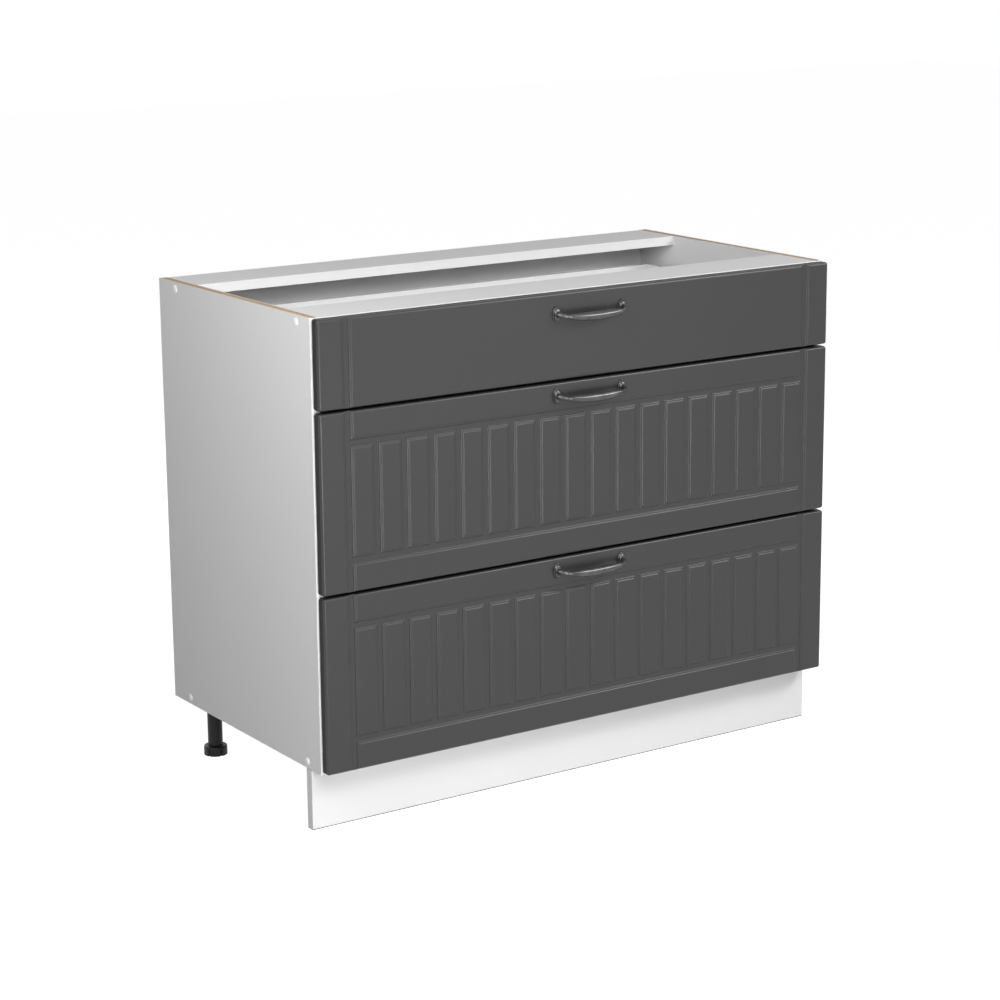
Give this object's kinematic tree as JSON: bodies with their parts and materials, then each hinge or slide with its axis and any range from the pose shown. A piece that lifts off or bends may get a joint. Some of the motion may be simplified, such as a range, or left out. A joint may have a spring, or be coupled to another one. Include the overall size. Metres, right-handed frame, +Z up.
{
  "type": "kitchen drawer base cabinet",
  "caption": "Freestanding kitchen base cabinet: white carcass on levelling feet with a plinth, graphite fluted drawer fronts, bow handles and full-extension drawers.",
  "frame": {"origin": "on the floor under the middle of the outer box", "axes": "+Z up, the drawer fronts face -Y, +X to the right for someone facing the fronts"},
  "size_m": [1.0044, 0.5478, 0.82],
  "materials": {
    "carcass_board": "white melamine on particle board, raw chipboard on the cut top, rear and bottom edges",
    "drawer_board": "white foil on particle board",
    "back_sheet": "white lacquered hardboard, raw brown on the wall side",
    "edge_band": "white edge band",
    "graphite_front": "graphite grey foil on milled fibre board, silk matt",
    "antique_iron": "dark antiqued cast metal, slightly glossy",
    "zinc_steel": "bright zinc plated rolled steel",
    "screw_steel": "zinc plated steel",
    "black_plastic": "black moulded plastic",
    "cap_plastic": "white moulded plastic",
    "seal_plastic": "grey flexible plastic lip",
    "plinth_board": "white melamine on particle board"
  },
  "bodies": {
    "carcass": {"assembly_screws": "screw_steel", "back_panel": "back_sheet", "bottom_outer_rail_left": "zinc_steel", "bottom_outer_rail_right": "zinc_steel", "bottom_panel": "carcass_board", "chipboard_screws": "screw_steel", "edge_bands": "edge_band", "front_stretcher": "carcass_board", "leg_front_left": "black_plastic", "leg_front_right": "black_plastic", "leg_rear_left": "black_plastic", "leg_rear_right": "black_plastic", "middle_outer_rail_left": "zinc_steel", "middle_outer_rail_right": "zinc_steel", "plinth_clips": "black_plastic", "plinth_panel": "plinth_board", "plinth_seal": "seal_plastic", "rear_stretcher": "carcass_board", "screw_caps": "cap_plastic", "side_panel_left": "carcass_board", "side_panel_right": "carcass_board", "top_outer_rail_left": "zinc_steel", "top_outer_rail_right": "zinc_steel"},
    "bottom_drawer": {"bottom_drawer_back": "drawer_board", "bottom_drawer_bottom": "drawer_board", "bottom_drawer_front": "graphite_front", "bottom_drawer_handle": "antique_iron", "bottom_drawer_screws": "screw_steel", "bottom_drawer_side_left": "drawer_board", "bottom_drawer_side_right": "drawer_board", "bottom_inner_rail_left": "zinc_steel", "bottom_inner_rail_right": "zinc_steel"},
    "middle_drawer": {"middle_drawer_back": "drawer_board", "middle_drawer_bottom": "drawer_board", "middle_drawer_front": "graphite_front", "middle_drawer_handle": "antique_iron", "middle_drawer_screws": "screw_steel", "middle_drawer_side_left": "drawer_board", "middle_drawer_side_right": "drawer_board", "middle_inner_rail_left": "zinc_steel", "middle_inner_rail_right": "zinc_steel"},
    "top_drawer": {"top_drawer_back": "drawer_board", "top_drawer_bottom": "drawer_board", "top_drawer_front": "graphite_front", "top_drawer_handle": "antique_iron", "top_drawer_screws": "screw_steel", "top_drawer_side_left": "drawer_board", "top_drawer_side_right": "drawer_board", "top_inner_rail_left": "zinc_steel", "top_inner_rail_right": "zinc_steel"},
    "bottom_centre_rail_left": {"bottom_centre_rail_left": "zinc_steel"},
    "bottom_centre_rail_right": {"bottom_centre_rail_right": "zinc_steel"},
    "foot_front_left": {"foot_front_left": "black_plastic"},
    "foot_front_right": {"foot_front_right": "black_plastic"},
    "foot_rear_left": {"foot_rear_left": "black_plastic"},
    "foot_rear_right": {"foot_rear_right": "black_plastic"},
    "middle_centre_rail_left": {"middle_centre_rail_left": "zinc_steel"},
    "middle_centre_rail_right": {"middle_centre_rail_right": "zinc_steel"},
    "top_centre_rail_left": {"top_centre_rail_left": "zinc_steel"},
    "top_centre_rail_right": {"top_centre_rail_right": "zinc_steel"}
  },
  "joints": [
    {"name": "bottom_drawer_slide", "type": "slide", "parent": "carcass", "child": "bottom_drawer", "axis": [0, -1, 0], "range_m": [0, 0.45]},
    {"name": "bottom_centre_rail_left_slide", "type": "slide", "parent": "carcass", "child": "bottom_centre_rail_left", "axis": [0, -1, 0], "range_m": [0, 0.225]},
    {"name": "bottom_centre_rail_right_slide", "type": "slide", "parent": "carcass", "child": "bottom_centre_rail_right", "axis": [0, -1, 0], "range_m": [0, 0.225]},
    {"name": "middle_drawer_slide", "type": "slide", "parent": "carcass", "child": "middle_drawer", "axis": [0, -1, 0], "range_m": [0, 0.45]},
    {"name": "middle_centre_rail_left_slide", "type": "slide", "parent": "carcass", "child": "middle_centre_rail_left", "axis": [0, -1, 0], "range_m": [0, 0.225]},
    {"name": "middle_centre_rail_right_slide", "type": "slide", "parent": "carcass", "child": "middle_centre_rail_right", "axis": [0, -1, 0], "range_m": [0, 0.225]},
    {"name": "top_drawer_slide", "type": "slide", "parent": "carcass", "child": "top_drawer", "axis": [0, -1, 0], "range_m": [0, 0.45]},
    {"name": "top_centre_rail_left_slide", "type": "slide", "parent": "carcass", "child": "top_centre_rail_left", "axis": [0, -1, 0], "range_m": [0, 0.225]},
    {"name": "top_centre_rail_right_slide", "type": "slide", "parent": "carcass", "child": "top_centre_rail_right", "axis": [0, -1, 0], "range_m": [0, 0.225]},
    {"name": "foot_front_left_level", "type": "slide", "parent": "carcass", "child": "foot_front_left", "axis": [0, 0, -1], "range_m": [0, 0.02]},
    {"name": "foot_front_right_level", "type": "slide", "parent": "carcass", "child": "foot_front_right", "axis": [0, 0, -1], "range_m": [0, 0.02]},
    {"name": "foot_rear_left_level", "type": "slide", "parent": "carcass", "child": "foot_rear_left", "axis": [0, 0, -1], "range_m": [0, 0.02]},
    {"name": "foot_rear_right_level", "type": "slide", "parent": "carcass", "child": "foot_rear_right", "axis": [0, 0, -1], "range_m": [0, 0.02]}
  ],
  "couplings": [
    {"joint": "bottom_centre_rail_left_slide", "follows": "bottom_drawer_slide", "ratio": 0.5},
    {"joint": "bottom_centre_rail_right_slide", "follows": "bottom_drawer_slide", "ratio": 0.5},
    {"joint": "middle_centre_rail_left_slide", "follows": "middle_drawer_slide", "ratio": 0.5},
    {"joint": "middle_centre_rail_right_slide", "follows": "middle_drawer_slide", "ratio": 0.5},
    {"joint": "top_centre_rail_left_slide", "follows": "top_drawer_slide", "ratio": 0.5},
    {"joint": "top_centre_rail_right_slide", "follows": "top_drawer_slide", "ratio": 0.5}
  ]
}
